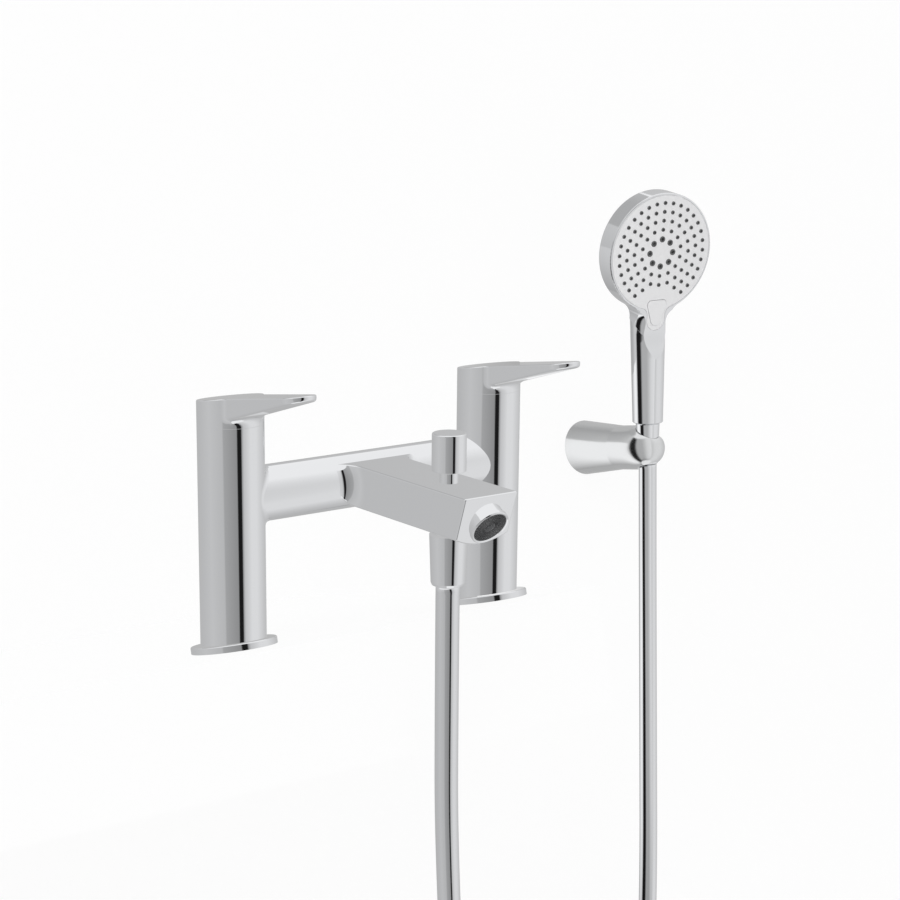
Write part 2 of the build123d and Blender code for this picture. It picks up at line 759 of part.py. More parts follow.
save(hand * handset_washer, "hose_washer_handset")
save(hand * handset_ferrule, "hose_ferrule_handset")
save(hand * cone_nut, "hose_nut_handset")

# Hose: hangs in one wide loop from the mixer's outlet to the hand shower
mixer_end = mixer(Pos(0, diverter_y, hose_nut_bottom)).position
handset_end = (hand * Pos(0, 0, cone_nut_bottom)).position
down_leg = Vector(0, sin(radians(rake)), -cos(radians(rake)))
handset_leg = Vector(0, sin(radians(handset_rake)), -cos(radians(handset_rake)))
hose_points = [
    mixer_end,
    mixer_end + down_leg * 60,
    mixer_end + down_leg * 60 + Vector(6, 32, -100),
    Vector(25, 10, hose_low + 155),
    Vector(85, 65, hose_low + 35),
    Vector(190, 130, hose_low),
    Vector(300, 190, hose_low + 40),
    Vector(365, 225, hose_low + 165),
    handset_end + handset_leg * 60 + Vector(-8, 12, -110),
    handset_end + handset_leg * 60,
    handset_end,
]
bend_radii = []
for before, here, after in zip(hose_points, hose_points[1:], hose_points[2:]):
    half_turn = radians((here - before).get_angle(after - here)) / 2
    bend_radii.append(0.45 * min((here - before).length, (after - here).length) / tan(half_turn))
hose_line = FilletPolyline(*hose_points, radius=bend_radii)
print("hose length", round(hose_line.length, 1), "of", hose_length)
print("hose bend radii", [round(radius) for radius in bend_radii])
print("hose points", [[round(v, 1) for v in point] for point in hose_points])
section = Plane(origin=mixer_end, z_dir=down_leg) * Circle(hose_radius)
hose = sweep(section, path=hose_line)
print("hose volume share", round(hose.volume / (pi * hose_radius**2 * hose_line.length), 4))
save(hose, "hose")
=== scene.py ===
import bpy
import json
import math
from mathutils import Matrix, Vector


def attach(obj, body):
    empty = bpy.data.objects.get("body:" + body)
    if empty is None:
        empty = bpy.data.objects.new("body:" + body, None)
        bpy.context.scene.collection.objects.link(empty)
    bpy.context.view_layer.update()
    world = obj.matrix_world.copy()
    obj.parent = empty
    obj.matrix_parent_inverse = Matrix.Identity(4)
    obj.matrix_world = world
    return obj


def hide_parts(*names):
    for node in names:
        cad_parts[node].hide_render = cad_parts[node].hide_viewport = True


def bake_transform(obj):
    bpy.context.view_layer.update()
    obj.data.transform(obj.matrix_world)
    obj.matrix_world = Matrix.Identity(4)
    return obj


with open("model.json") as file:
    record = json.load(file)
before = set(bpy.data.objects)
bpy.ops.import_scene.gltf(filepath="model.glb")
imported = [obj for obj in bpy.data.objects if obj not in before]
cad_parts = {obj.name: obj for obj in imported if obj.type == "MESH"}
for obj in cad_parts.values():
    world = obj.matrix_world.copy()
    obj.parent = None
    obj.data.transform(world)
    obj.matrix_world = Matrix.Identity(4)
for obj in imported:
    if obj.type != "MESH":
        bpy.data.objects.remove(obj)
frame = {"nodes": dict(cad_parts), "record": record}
bpy.context.view_layer.update()
print("frame loaded:", len(frame["nodes"]), "nodes")


# One sRGB channel, 0 to 1, as a linear value
def linearChannel(value):
    return value / 12.92 if value <= 0.04045 else ((value + 0.055) / 1.055) ** 2.4


# sRGB hex as written on a colour card, turned to Blender's linear values
def linearColour(hexText):
    return [linearChannel(int(hexText[i:i + 2], 16) / 255) for i in (1, 3, 5)] + [1.0]


# Adds one node, sets its sockets and links, and hands it back
def addNode(tree, kind, settings=None, **links):
    node = tree.nodes.new(kind)
    for key, value in (settings or {}).items():
        if isinstance(key, int) or key in node.inputs:
            node.inputs[key].default_value = value
        else:
            setattr(node, key, value)
    for socket, source in links.items():
        name = socket.replace("_", " ")
        tree.links.new(source, node.inputs[int(socket[1:])] if socket[1:].isdigit() else node.inputs[name])
    return node


# A principled material with its plain values, its tree, its shader and the object's own coordinates
def startMaterial(name, colour, metallic, roughness):
    material = bpy.data.materials.new(name)
    material.use_nodes = True
    tree = material.node_tree
    shader = tree.nodes["Principled BSDF"]
    shader.inputs["Base Color"].default_value = linearColour(colour)
    shader.inputs["Metallic"].default_value = metallic
    shader.inputs["Roughness"].default_value = roughness
    return material, tree, shader, addNode(tree, "ShaderNodeTexCoord").outputs["Object"]


# Joins outputs to the shader's sockets
def wire(tree, shader, sources):
    for socket, source in sources.items():
        tree.links.new(source, shader.inputs[socket])


# Camera, fitted to the photograph's columns, bridge and base discs
camera = {
    "place": (-0.7508, -1.1419, 0.1133),
    "right": (0.8216, -0.5533, -0.1371),
    "look": (0.5499, 0.8327, -0.0650),
    "lens": 93.27,
    "filmWidth": 36.0,
    "shiftX": 0.0955,
    "shiftY": 0.1458,
}
eye = bpy.data.cameras.new("photoCamera")
eye.lens = camera["lens"]
eye.sensor_width = camera["filmWidth"]
eye.shift_x = camera["shiftX"]
eye.shift_y = camera["shiftY"]
eyeObject = bpy.data.objects.new("photoCamera", eye)
bpy.context.scene.collection.objects.link(eyeObject)
right = Vector(camera["right"]).normalized()
look = Vector(camera["look"]).normalized()
up = right.cross(look).normalized()
turn = Matrix((right, up, -look)).transposed().to_4x4()
eyeObject.matrix_world = Matrix.Translation(camera["place"]) @ turn
bpy.context.scene.camera = eyeObject
print("camera placed")

# Places, in metres and degrees: the raked mixer, the hand shower in its holder, the spray face and the nozzle
places = {
    "discTop": (0, 0, 0.004),
    "mixerRake": 14.0,
    "socket": (0.4081, 0.203, 0.0694),
    "handRake": 11.2,
    "handTurn": -6.6,
    "face": (0, -0.0172, 0.1471),
    "faceTilt": 8.0,
    "nozzle": (0, -0.1193, 0.0777),
    "nozzleDown": 33.0,
}


# A turn by degrees about one axis
def turned(degrees, axis):
    return Matrix.Rotation(math.radians(degrees), 4, axis)


mixerPlace = Matrix.Translation(places["discTop"]) @ turned(places["mixerRake"], "X")
handPlace = Matrix.Translation(places["socket"]) @ turned(places["handRake"], "X") @ turned(places["handTurn"], "Z")
facePlace = handPlace @ Matrix.Translation(places["face"]) @ turned(90 + places["faceTilt"], "X")
nozzlePlace = mixerPlace @ Matrix.Translation(places["nozzle"]) @ turned(places["nozzleDown"] - 90, "X")


# A mesh object that rides on a body, if one is named; sizes come in mm and go to metres and to its place
def meshPiece(name, points, faces, material, body, slot, place=None):
    mesh = bpy.data.meshes.new(name)
    mesh.from_pydata([tuple(v / 1000 for v in point) for point in points], [], faces)
    if place is not None:
        mesh.transform(place)
    mesh.materials.append(material)
    mesh.polygons.foreach_set("use_smooth", [True] * len(faces))
    mesh.update()
    piece = bpy.data.objects.new(name, mesh)
    bpy.context.scene.collection.objects.link(piece)
    piece.visible_glossy = False
    if body:
        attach(piece, body)
    return piece


# Rings of points turned about the Z axis at x, y: each row is a radius and a height
def turnedRows(rows, steps, x=0.0, y=0.0, twist=None):
    points, faces = [], []
    for radius, height in rows:
        for step in range(steps):
            angle = 2 * math.pi * step / steps
            reach = radius if twist is None else twist(radius, height, angle)
            points.append((x + reach * math.cos(angle), y + reach * math.sin(angle), height))
    for row in range(len(rows) - 1):
        for step in range(steps):
            a = row * steps + step
            b = row * steps + (step + 1) % steps
            faces.append((a, b, b + steps, a + steps))
    return points, faces


# Puts several point and face lists into one
def gather(parts):
    points, faces = [], []
    for morePoints, moreFaces in parts:
        start = len(points)
        points += morePoints
        faces += [tuple(start + corner for corner in face) for face in moreFaces]
    return points, faces


# Materials, each named for its real finish. A scale of 1000 divided by mm gives a pattern of that size

# Bright chrome over polished brass: a cool mirror, with a faint haze where it is wiped
chromePlate, tree, shader, where = startMaterial("chromePlate", "#E8E9EB", 1.0, 0.05)
wipe = addNode(tree, "ShaderNodeTexNoise", {"Scale": 1000 / 22, "Detail": 5.0, "Roughness": 0.6}, Vector=where)
haze = addNode(tree, "ShaderNodeMapRange", {"To Min": 0.025, "To Max": 0.075}, Value=wipe.outputs["Fac"])
polish = addNode(tree, "ShaderNodeTexNoise", {"Scale": 1000 / 14, "Detail": 2.0}, Vector=where)
swell = addNode(tree, "ShaderNodeBump", {"Strength": 0.5, "Distance": 0.00003}, Height=polish.outputs["Fac"])
wire(tree, shader, {"Roughness": haze.outputs["Result"], "Normal": swell.outputs["Normal"]})

# Chrome on moulded ABS: the same mirror, a little softer, with the mould's long slow waves
chromedAbs, tree, shader, where = startMaterial("chromedAbs", "#E6E7E9", 1.0, 0.08)
wipe = addNode(tree, "ShaderNodeTexNoise", {"Scale": 1000 / 16, "Detail": 4.0}, Vector=where)
haze = addNode(tree, "ShaderNodeMapRange", {"To Min": 0.05, "To Max": 0.10}, Value=wipe.outputs["Fac"])
mould = addNode(tree, "ShaderNodeTexNoise", {"Scale": 1000 / 26, "Detail": 1.0}, Vector=where)
swell = addNode(tree, "ShaderNodeBump", {"Strength": 0.5, "Distance": 0.00008}, Height=mould.outputs["Fac"])
wire(tree, shader, {"Roughness": haze.outputs["Result"], "Normal": swell.outputs["Normal"]})

# Wall holder in satin chromed ABS: reflections have soft edges
satinChromedAbs, tree, shader, where = startMaterial("satinChromedAbs", "#E2E3E4", 1.0, 0.17)
film = addNode(tree, "ShaderNodeTexNoise", {"Scale": 1000 / 9, "Detail": 5.0}, Vector=where)
haze = addNode(tree, "ShaderNodeMapRange", {"To Min": 0.13, "To Max": 0.20}, Value=film.outputs["Fac"])
grit = addNode(tree, "ShaderNodeTexNoise", {"Scale": 1000 / 0.5, "Detail": 2.0}, Vector=where)
swell = addNode(tree, "ShaderNodeBump", {"Strength": 0.25, "Distance": 0.00001}, Height=grit.outputs["Fac"])
wire(tree, shader, {"Roughness": haze.outputs["Result"], "Normal": swell.outputs["Normal"]})

# Turned brass, unplated: warm yellow with brown tarnish and rings from the lathe. The real rings are too fine to show,
# so they are drawn 2.2 mm apart: the wave texture turns through 20 radians in each unit
turnedBrass, tree, shader, where = startMaterial("turnedBrass", "#CDA75C", 1.0, 0.3)
tarnish = addNode(tree, "ShaderNodeTexNoise", {"Scale": 1000 / 7, "Detail": 6.0, "Roughness": 0.65}, Vector=where)
tone = addNode(
    tree, "ShaderNodeMix", {"data_type": "RGBA", 6: linearColour("#D2AE66"), 7: linearColour("#A37F42")},
    _0=tarnish.outputs["Fac"],
)
rings = addNode(
    tree, "ShaderNodeTexWave", {"bands_direction": "Z", "Scale": 1000 / 0.35 / 20, "Distortion": 0.4}, Vector=where
)
cut = addNode(tree, "ShaderNodeBump", {"Strength": 0.3, "Distance": 0.00002}, Height=rings.outputs["Fac"])
dull = addNode(tree, "ShaderNodeMapRange", {"To Min": 0.24, "To Max": 0.42}, Value=tarnish.outputs["Fac"])
wire(tree, shader, {
    "Base Color": tone.outputs[2], "Roughness": dull.outputs["Result"], "Normal": cut.outputs["Normal"],
})

# Zinc plated steel for screws and the wall plate: grey, with cloudy spangle about 3 mm across
zincSteel, tree, shader, where = startMaterial("zincSteel", "#B4B8BC", 1.0, 0.32)
spangle = addNode(tree, "ShaderNodeTexVoronoi", {"Scale": 1000 / 3, "Randomness": 1.0}, Vector=where)
dull = addNode(tree, "ShaderNodeMapRange", {"To Min": 0.26, "To Max": 0.44}, Value=spangle.outputs["Distance"])
tone = addNode(
    tree, "ShaderNodeMix", {"data_type": "RGBA", 6: linearColour("#BEC2C6"), 7: linearColour("#9DA2A8")},
    _0=spangle.outputs["Distance"],
)
wire(tree, shader, {"Base Color": tone.outputs[2], "Roughness": dull.outputs["Result"]})

# Moulded EPDM rubber seals: near black, matt, with a talc bloom in patches
sealRubber, tree, shader, where = startMaterial("sealRubber", "#19191B", 0.0, 0.62)
bloom = addNode(tree, "ShaderNodeTexNoise", {"Scale": 1000 / 4, "Detail": 5.0}, Vector=where)
tone = addNode(
    tree, "ShaderNodeMix", {"data_type": "RGBA", 6: linearColour("#151517"), 7: linearColour("#2A2A2C")},
    _0=bloom.outputs["Fac"],
)
skin = addNode(tree, "ShaderNodeTexNoise", {"Scale": 1000 / 0.3, "Detail": 2.0}, Vector=where)
pits = addNode(tree, "ShaderNodeBump", {"Strength": 0.4, "Distance": 0.00003}, Height=skin.outputs["Fac"])
dull = addNode(tree, "ShaderNodeMapRange", {"To Min": 0.52, "To Max": 0.72}, Value=bloom.outputs["Fac"])
wire(tree, shader, {
    "Base Color": tone.outputs[2], "Roughness": dull.outputs["Result"], "Normal": pits.outputs["Normal"],
})

# Lapped alumina discs: off white, close to gloss, with a grain finer than 0.2 mm drawn at 0.4 mm to show
aluminaDisc, tree, shader, where = startMaterial("aluminaDisc", "#EFECE4", 0.0, 0.16)
grain = addNode(tree, "ShaderNodeTexNoise", {"Scale": 1000 / 0.4, "Detail": 3.0}, Vector=where)
gloss = addNode(tree, "ShaderNodeMapRange", {"To Min": 0.10, "To Max": 0.24}, Value=grain.outputs["Fac"])
tone = addNode(
    tree, "ShaderNodeMix", {"data_type": "RGBA", 6: linearColour("#F2F0EA"), 7: linearColour("#E6E1D6")},
    _0=grain.outputs["Fac"],
)
wire(tree, shader, {"Base Color": tone.outputs[2], "Roughness": gloss.outputs["Result"]})

# Satin silver plating on the spray face: a soft pale metal with a 0.25 mm silk grain
satinSilver, tree, shader, where = startMaterial("satinSilver", "#F1F1F2", 0.7, 0.34)
silk = addNode(tree, "ShaderNodeTexNoise", {"Scale": 1000 / 0.25, "Detail": 2.0}, Vector=where)
cloud = addNode(tree, "ShaderNodeTexNoise", {"Scale": 1000 / 18, "Detail": 4.0}, Vector=where)
dull = addNode(tree, "ShaderNodeMapRange", {"To Min": 0.28, "To Max": 0.40}, Value=cloud.outputs["Fac"])
nap = addNode(tree, "ShaderNodeBump", {"Strength": 0.2, "Distance": 0.00001}, Height=silk.outputs["Fac"])
wire(tree, shader, {"Roughness": dull.outputs["Result"], "Normal": nap.outputs["Normal"]})

# Liquid silicone nozzle mat: mid grey rubber with a soft skin and slight specks
greySilicone, tree, shader, where = startMaterial("greySilicone", "#5E5F60", 0.0, 0.48)
speck = addNode(tree, "ShaderNodeTexNoise", {"Scale": 1000 / 0.6, "Detail": 3.0}, Vector=where)
tone = addNode(
    tree, "ShaderNodeMix", {"data_type": "RGBA", 6: linearColour("#686969"), 7: linearColour("#505152")},
    _0=speck.outputs["Fac"],
)
dull = addNode(tree, "ShaderNodeMapRange", {"To Min": 0.40, "To Max": 0.56}, Value=speck.outputs["Fac"])
wire(tree, shader, {"Base Color": tone.outputs[2], "Roughness": dull.outputs["Result"]})

# Silicone at the floor of each nozzle bore, painted close to black as painted shade for the depth of the hole, with a
# dull shine
boreShadeSilicone, tree, shader, where = startMaterial("boreShadeSilicone", "#141415", 0.0, 0.35)
speck = addNode(tree, "ShaderNodeTexNoise", {"Scale": 1000 / 0.4, "Detail": 2.0}, Vector=where)
dull = addNode(tree, "ShaderNodeMapRange", {"To Min": 0.25, "To Max": 0.45}, Value=speck.outputs["Fac"])
wire(tree, shader, {"Roughness": dull.outputs["Result"]})

# Black acetal of the aerator: dark grey, lightly glossy, lime film in soft patches
blackAcetal, tree, shader, where = startMaterial("blackAcetal", "#3C3D3F", 0.0, 0.36)
lime = addNode(tree, "ShaderNodeTexNoise", {"Scale": 1000 / 3, "Detail": 5.0}, Vector=where)
tone = addNode(
    tree, "ShaderNodeMix", {"data_type": "RGBA", 6: linearColour("#333436"), 7: linearColour("#4B4C4E")},
    _0=lime.outputs["Fac"],
)
dull = addNode(tree, "ShaderNodeMapRange", {"To Min": 0.28, "To Max": 0.5}, Value=lime.outputs["Fac"])
wire(tree, shader, {"Base Color": tone.outputs[2], "Roughness": dull.outputs["Result"]})

# Natural white moulded plastic: wall plugs and water ways, spark eroded grain about 0.5 mm
whiteMoulding, tree, shader, where = startMaterial("whiteMoulding", "#E7E7E3", 0.0, 0.38)
spark = addNode(tree, "ShaderNodeTexNoise", {"Scale": 1000 / 0.5, "Detail": 3.0}, Vector=where)
dull = addNode(tree, "ShaderNodeMapRange", {"To Min": 0.32, "To Max": 0.46}, Value=spark.outputs["Fac"])
grainBump = addNode(tree, "ShaderNodeBump", {"Strength": 0.3, "Distance": 0.00002}, Height=spark.outputs["Fac"])
wire(tree, shader, {"Roughness": dull.outputs["Result"], "Normal": grainBump.outputs["Normal"]})

# Smooth silver PVC hose: metal foil with long low waves, just felt under the clear glossy skin. The waves come each
# 63 mm, which is 12.6 of the pattern's units
silverPvc, tree, shader, where = startMaterial("silverPvc", "#E3E4E6", 1.0, 0.09)
shader.inputs["Coat Weight"].default_value = 0.3
shader.inputs["Coat Roughness"].default_value = 0.05
wrap = addNode(tree, "ShaderNodeUVMap", {"uv_map": "alongHose"})
waves = addNode(
    tree, "ShaderNodeTexWave", {"bands_direction": "DIAGONAL", "Scale": 1 / 20, "Distortion": 0.0},
    Vector=wrap.outputs["UV"],
)
foil = addNode(tree, "ShaderNodeBump", {"Strength": 0.25, "Distance": 0.00002}, Height=waves.outputs["Fac"])
skin = addNode(tree, "ShaderNodeTexNoise", {"Scale": 1000 / 12, "Detail": 3.0}, Vector=where)
gloss = addNode(tree, "ShaderNodeMapRange", {"To Min": 0.06, "To Max": 0.12}, Value=skin.outputs["Fac"])
wire(tree, shader, {"Roughness": gloss.outputs["Result"], "Normal": foil.outputs["Normal"]})
print("materials mixed")

# Finishes of the solids, by the record's slots, with a few nodes named for their own
finishOfSlot = {
    "chrome_plated_brass": chromePlate,
    "chrome_plated_plastic": chromedAbs,
    "raw_brass": turnedBrass,
    "nut_steel": zincSteel,
    "black_rubber": sealRubber,
    "white_ceramic": aluminaDisc,
    "silver_plastic": satinSilver,
    "grey_silicone": greySilicone,
    "dark_plastic": blackAcetal,
    "white_plastic": whiteMoulding,
    "hose_metal": silverPvc,
}
finishOfNode = {"holder_cone": satinChromedAbs, "holder_head": satinChromedAbs, "shower_outlet": chromePlate}
for part in frame["record"]["subparts"]:
    name = part["node"]
    mesh = frame["nodes"][name].data
    mesh.materials.clear()
    mesh.materials.append(finishOfNode.get(name, finishOfSlot[part["material_slot"]]))
# The mixer's plating mirrors the studio alone, as in the photograph; the hand shower and its holder mirror each other
mirrored = {"handset_shell", "holder_head", "holder_cone", "hose_nut_handset", "spray_face"}
for name, node in frame["nodes"].items():
    node.visible_glossy = name in mirrored
print("finishes on")

# Hose: smooth silver PVC, one loop from the mixer down and up to the hand shower
hose = {
    "route": [
        (0.0, -88.1, 20.6), (0.0, -73.6, -37.6), (6.0, -41.6, -137.6), (25.0, 10.0, -310.0),
        (85.0, 65.0, -430.0), (190.0, 130.0, -465.0), (300.0, 190.0, -425.0), (365.0, 225.0, -300.0),
        (400.1, 229.0, -111.2), (408.1, 217.0, -1.2), (408.1, 205.3, 57.6),
    ],
    "radius": 6.75,
    "length": 1.242,
    "curveOrder": 3,
    "curveSteps": 28,
    "sides": 28,
    "patternUnit": 5.0,
    "bendFrom": (0.33, 0.2, 0.028),
    "bendTo": (0.41, 0.2, 0.058),
}
routeCurve = bpy.data.curves.new("hoseRoute", "CURVE")
routeCurve.dimensions = "3D"
spline = routeCurve.splines.new("NURBS")
spline.points.add(len(hose["route"]) - 1)
for point, (x, y, z) in zip(spline.points, hose["route"]):
    point.co = (x / 1000, y / 1000, z / 1000, 1.0)
spline.order_u = hose["curveOrder"]
spline.use_endpoint_u = True
spline.resolution_u = hose["curveSteps"]
routeObject = bpy.data.objects.new("hoseRoute", routeCurve)
bpy.context.scene.collection.objects.link(routeObject)
bpy.context.view_layer.update()
routeMesh = bpy.data.meshes.new_from_object(routeObject.evaluated_get(bpy.context.evaluated_depsgraph_get()))
line = [vertex.co.copy() for vertex in routeMesh.vertices]
bpy.data.objects.remove(routeObject)

# Rings of points square to the route, carried along it without twist, with the way travelled for the foil's pattern
points, faces, around = [], [], []
count = hose["sides"]
side = Vector((1, 0, 0))
travelled = 0.0
for index, middle in enumerate(line):
    before = line[max(index - 1, 0)]
    after = line[min(index + 1, len(line) - 1)]
    ahead = (after - before).normalized()
    side = (side - side.dot(ahead) * ahead).normalized()
    cross = ahead.cross(side)
    travelled += (middle - before).length
    for step in range(count):
        angle = 2 * math.pi * step / count
        spot = middle * 1000 + hose["radius"] * (math.cos(angle) * side + math.sin(angle) * cross)
        points.append(tuple(spot))
        around.append((1000 * travelled / hose["patternUnit"], step / count))
for row in range(len(line) - 1):
    for step in range(count):
        a = row * count + step
        b = row * count + (step + 1) % count
        faces.append((a, b, b + count, a + count))
faces.append(tuple(reversed(range(count))))
faces.append(tuple(range(len(points) - count, len(points))))
hoseTube = meshPiece("hoseTube", points, faces, silverPvc, None, "hose_metal")
layer = hoseTube.data.uv_layers.new(name="alongHose")
for loop in hoseTube.data.loops:
    layer.data[loop.index].uv = around[loop.vertex_index]
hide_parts("hose")
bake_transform(hoseTube)
print("hose laid")

# Where each column stands along X, in mm, and the name of its side
columns = ((-90.0, "left"), (90.0, "right"))

# Inlet tails with their 14 threads to the inch, cut above and below the relief groove
tail = {
    "radius": 13.2,
    "depth": 1.16,
    "pitch": 25.4 / 14,
    "lower": (-60.8, -43.2),
    "upper": (-39.8, -12.0),
    "grooveRadius": 12.2,
    "bore": 9.5,
    "bottom": -62.0,
    "shoulder": 4.0,
    "spigot": 11.85,
    "top": 16.5,
    "boreTop": 15.0,
    "tipChamfer": 1.2,
    "runOut": 0.3,
    "axis": 0.01,
    "rowsPerPitch": 6,
    "sides": 48,
}


# Rows of the plain cylinder, close enough together to carry the thread
def threadRows(low, high):
    steps = int((high - low) / tail["pitch"] * tail["rowsPerPitch"])
    return [(tail["radius"], low + (high - low) * i / steps) for i in range(steps + 1)]


# A radius on the thread: crest to root and back once each pitch, turning with the angle
def threadRadius(radius, height, angle):
    inThread = any(low < height < high for low, high in (tail["lower"], tail["upper"]))
    if not inThread or radius < tail["radius"]:
        return radius
    phase = (height / tail["pitch"] - angle / (2 * math.pi)) % 1.0
    return radius - tail["depth"] * (1 - abs(2 * phase - 1))


inside = [(tail["axis"], tail["boreTop"]), (tail["bore"], tail["boreTop"]), (tail["bore"], tail["bottom"])]
outside = [(tail["radius"] - tail["tipChamfer"], tail["bottom"])] + threadRows(*tail["lower"])
outside.append((tail["grooveRadius"], tail["lower"][1] + tail["runOut"]))
outside.append((tail["grooveRadius"], tail["upper"][0] - tail["runOut"]))
outside += threadRows(*tail["upper"]) + [(tail["radius"], tail["shoulder"]), (tail["spigot"], tail["shoulder"])]
outside += [(tail["spigot"], tail["top"]), (tail["axis"], tail["top"])]
for x, name in columns:
    points, faces = turnedRows(inside + outside, tail["sides"], x=x, twist=threadRadius)
    piece = meshPiece("threadedTail_" + name, points, faces, turnedBrass, "mixer_and_holder", "raw_brass")
    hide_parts("inlet_tail_" + name)
print("tails threaded")

# Nozzle tips: a silicone teat, 3 mm across and open at its top, stands round each nib of the mat. The inner
# ring has wider massage jets. Each ring is a radius, a count and the step from the button at which its nozzles
# begin; each profile is rows of radius and height
nozzles = {
    "rings": [(10.1, 8, 0), (17.2, 14, 0), (23.9, 20, 0), (30.4, 26, 2), (36.9, 32, 3)],
    "firstAngle": -90,
    "jetCount": 8,
    "sides": 18,
    "teat": [(1.5, 0.01), (1.46, 0.46), (1.3, 0.74), (1.1, 0.86), (0.86, 0.84), (0.8, 0.70), (0.78, 0.47)],
    "teatBore": [(0.77, 0.50), (0.4, 0.49), (0.01, 0.485)],
    "jet": [
        (2.3, 0.01), (2.26, 0.5), (2.08, 0.72), (1.8, 0.80), (1.5, 0.72), (1.42, 0.45), (1.12, 0.42), (1.10, -1.4),
    ],
    "jetBore": [(1.09, -1.30), (0.5, -1.34), (0.01, -1.35)],
}
vane = {"count": 4, "inner": 0.3, "outer": 1.1, "half": 0.13, "bottom": -1.28, "top": -0.35}
vaneFaces = [(3, 2, 1, 0), (4, 5, 6, 7), (0, 1, 5, 4), (1, 2, 6, 5), (2, 3, 7, 6), (3, 0, 4, 7)]


# One flat vane of a massage jet's swirler, from near the jet's middle out to its wall
def jetVane(x, y, angle):
    along = Vector((math.cos(angle), math.sin(angle), 0))
    across = Vector((-along.y, along.x, 0)) * vane["half"]
    outline = ((vane["inner"], -1), (vane["outer"], -1), (vane["outer"], 1), (vane["inner"], 1))
    corners = [
        Vector((x, y, z)) + along * reach + across * sign
        for z in (vane["bottom"], vane["top"]) for reach, sign in outline
    ]
    return [tuple(corner) for corner in corners], vaneFaces


tips, bores = [], []
for radius, count, skip in nozzles["rings"]:
    isJet = count == nozzles["jetCount"]
    for index in range(count):
        if min(index, count - index) < skip:
            continue
        angle = math.radians(nozzles["firstAngle"] + index * 360 / count)
        x, y = radius * math.cos(angle), radius * math.sin(angle)
        tips.append(turnedRows(nozzles["jet" if isJet else "teat"], nozzles["sides"], x, y))
        bores.append(turnedRows(nozzles["jetBore" if isJet else "teatBore"], nozzles["sides"], x, y))
        if isJet:
            tips += [jetVane(x, y, turn * 2 * math.pi / vane["count"] + angle) for turn in range(vane["count"])]
meshPiece("nozzleTips", *gather(tips), greySilicone, "hand_shower", "grey_silicone", facePlace)
# The bore floors are near-black discs: painted shade standing in for the dark inside of each hole
meshPiece("nozzleBores", *gather(bores), boreShadeSilicone, "hand_shower", "grey_silicone", facePlace)
print("nozzle tips set")

# Aerator: radial fins and a round boss on the dark insert, seen through the chrome ring
aerator = {
    "fins": 28,
    "from": 3.4,
    "to": 9.7,
    "back": 0.62,
    "front": 0.22,
    "width": 0.32,
    "frontShare": 0.55,
    "boss": [(0.01, -0.02), (1.6, 0.0), (2.4, 0.08), (2.7, 0.3), (2.7, 0.62)],
    "bossSides": 40,
}
fins = []
for index in range(aerator["fins"]):
    angle = 2 * math.pi * (index + 0.5) / aerator["fins"]
    along = Vector((math.cos(angle), math.sin(angle), 0))
    across = Vector((-along.y, along.x, 0)) * aerator["width"] / 2
    corners = []
    for z, narrow in ((aerator["back"], 1.0), (aerator["front"], aerator["frontShare"])):
        for reach, sign in ((aerator["from"], -1), (aerator["to"], -1), (aerator["to"], 1), (aerator["from"], 1)):
            corners.append(tuple(along * reach + across * sign * narrow + Vector((0, 0, z))))
    fins.append((corners, [(0, 1, 2, 3), (7, 6, 5, 4), (4, 5, 1, 0), (5, 6, 2, 1), (6, 7, 3, 2), (7, 4, 0, 3)]))
fins.append(turnedRows(aerator["boss"], aerator["bossSides"]))
meshPiece("aeratorFins", *gather(fins), blackAcetal, "mixer_and_holder", "dark_plastic", nozzlePlace)
print("aerator finned")

# Grub screws at the back of the levers: a raised rim round the hexagon socket, 1.3 mm across flats
grub = {
    "radius": 1.42,
    "bevel": 0.1,
    "rim": 0.16,
    "flats": 1.3,
    "floor": 0.03,
    "seat": 16.8,
    "height": 131.15,
    "sides": 36,
}
sixthTurn = math.pi / 3
steps = grub["sides"]
for x, name in columns:
    rim, socket = [], []
    for step in range(steps):
        angle = 2 * math.pi * step / steps
        fromFlat = (angle + sixthTurn / 2) % sixthTurn - sixthTurn / 2
        hexReach = grub["flats"] / 2 / math.cos(fromFlat)
        outline = ((grub["radius"], 0.0), (grub["radius"] - grub["bevel"], grub["rim"]), (hexReach, grub["rim"]))
        for reach, z in outline:
            rim.append((reach * math.cos(angle), reach * math.sin(angle), z))
        socket.append((hexReach * math.cos(angle), hexReach * math.sin(angle), grub["floor"]))
    faces = []
    for step in range(steps):
        a, b = 3 * step, 3 * ((step + 1) % steps)
        faces += [(a, b, b + 1, a + 1), (a + 1, b + 1, b + 2, a + 2)]
        faces.append((a + 2, b + 2, 3 * steps + (step + 1) % steps, 3 * steps + step))
    faces.append(tuple(range(3 * steps, 4 * steps)))
    place = mixerPlace @ Matrix.Translation((x / 1000, grub["seat"] / 1000, grub["height"] / 1000))
    place = place @ turned(-90, "X")
    meshPiece("grubSocket_" + name, rim + socket, faces, zincSteel, "lever_" + name, "nut_steel", place)
print("grub screws cut")

# Stage: a pale floor, a plain ledge at rim height and a wall, all without edges in the picture
stage = {
    "floorZ": -0.50,
    "reach": 6.0,
    "ledgeFront": -0.046,
    "ledgeEnd": 0.14,
    "ledgeTop": -0.0002,
    "ledgeFoot": -0.075,
    "wallY": 0.2759,
    "whiteShare": 0.93,
}


# A mesh of the stage, in metres, which is no piece of the object
def stageMesh(name, points, faces, material, glossy):
    mesh = bpy.data.meshes.new(name)
    mesh.from_pydata(points, [], faces)
    mesh.materials.append(material)
    thing = bpy.data.objects.new(name, mesh)
    bpy.context.scene.collection.objects.link(thing)
    thing.visible_glossy = glossy
    return thing


